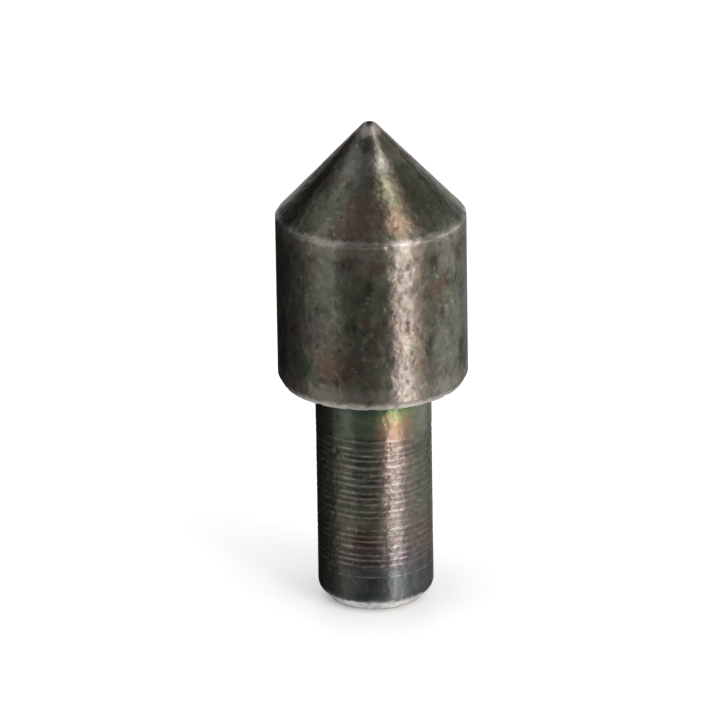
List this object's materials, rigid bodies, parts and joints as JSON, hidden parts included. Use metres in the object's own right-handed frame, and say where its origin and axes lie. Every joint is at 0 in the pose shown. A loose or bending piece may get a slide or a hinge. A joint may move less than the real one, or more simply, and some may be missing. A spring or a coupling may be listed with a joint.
{
  "type": "live center",
  "caption": "Compact live center: a conical point and hollow cylindrical head turn together on sealed bearings on a fixed arbor with a straight shank.",
  "frame": {"origin": "on the axis, in the plane of the arbor's annular seat face, where the shank meets the collar", "axes": "+Z runs along the axis from the shank to the conical point; the shank points along -Z; X and Y are square to it, with a spanner slot of the cap at 45 degrees between them"},
  "size_m": [0.0196, 0.0196, 0.0519],
  "materials": {
    "point_steel": "oil-blackened, mottled olive and brown, worn bright on its edges",
    "arbor_steel": "fine-turned, dark, with heat colours next to the head",
    "cap_steel": "oil-blackened, turned",
    "bearing_steel": "ground and polished",
    "spring_steel": "blued, as heat-treated",
    "cage_brass": "machined",
    "seal_rubber": "moulded, matt",
    "felt": "oiled wool felt"
  },
  "bodies": {
    "arbor": {"arbor": "arbor_steel", "snap_ring": "spring_steel", "inner_spacer": "bearing_steel", "rear_bearing_inner_race": "bearing_steel", "front_bearing_inner_race": "bearing_steel", "thrust_shaft_washer": "bearing_steel"},
    "head": {"point_head": "point_steel", "retaining_cap": "cap_steel", "felt_seal": "felt", "outer_spacer": "bearing_steel", "wave_spring": "spring_steel", "rear_bearing_outer_race": "bearing_steel", "rear_bearing_rear_shield": "seal_rubber", "rear_bearing_front_shield": "seal_rubber", "front_bearing_outer_race": "bearing_steel", "front_bearing_rear_shield": "seal_rubber", "front_bearing_front_shield": "seal_rubber", "thrust_housing_washer": "bearing_steel"},
    "rear_cage": {"rear_bearing_cage": "cage_brass", "rear_bearing_balls": "bearing_steel"},
    "front_cage": {"front_bearing_cage": "cage_brass", "front_bearing_balls": "bearing_steel"},
    "thrust_cage": {"thrust_cage": "cage_brass", "thrust_balls": "bearing_steel"}
  },
  "joints": [
    {"name": "head_spin", "type": "hinge", "parent": "arbor", "child": "head", "pos_m": [0, 0, 0], "axis": [0, 0, 1], "continuous": true},
    {"name": "rear_cage_spin", "type": "hinge", "parent": "arbor", "child": "rear_cage", "pos_m": [0, 0, 0], "axis": [0, 0, 1], "continuous": true},
    {"name": "front_cage_spin", "type": "hinge", "parent": "arbor", "child": "front_cage", "pos_m": [0, 0, 0], "axis": [0, 0, 1], "continuous": true},
    {"name": "thrust_cage_spin", "type": "hinge", "parent": "arbor", "child": "thrust_cage", "pos_m": [0, 0, 0], "axis": [0, 0, 1], "continuous": true}
  ],
  "couplings": [
    {"joint": "rear_cage_spin", "follows": "head_spin", "ratio": 0.59167},
    {"joint": "front_cage_spin", "follows": "head_spin", "ratio": 0.59167},
    {"joint": "thrust_cage_spin", "follows": "head_spin", "ratio": 0.5}
  ]
}
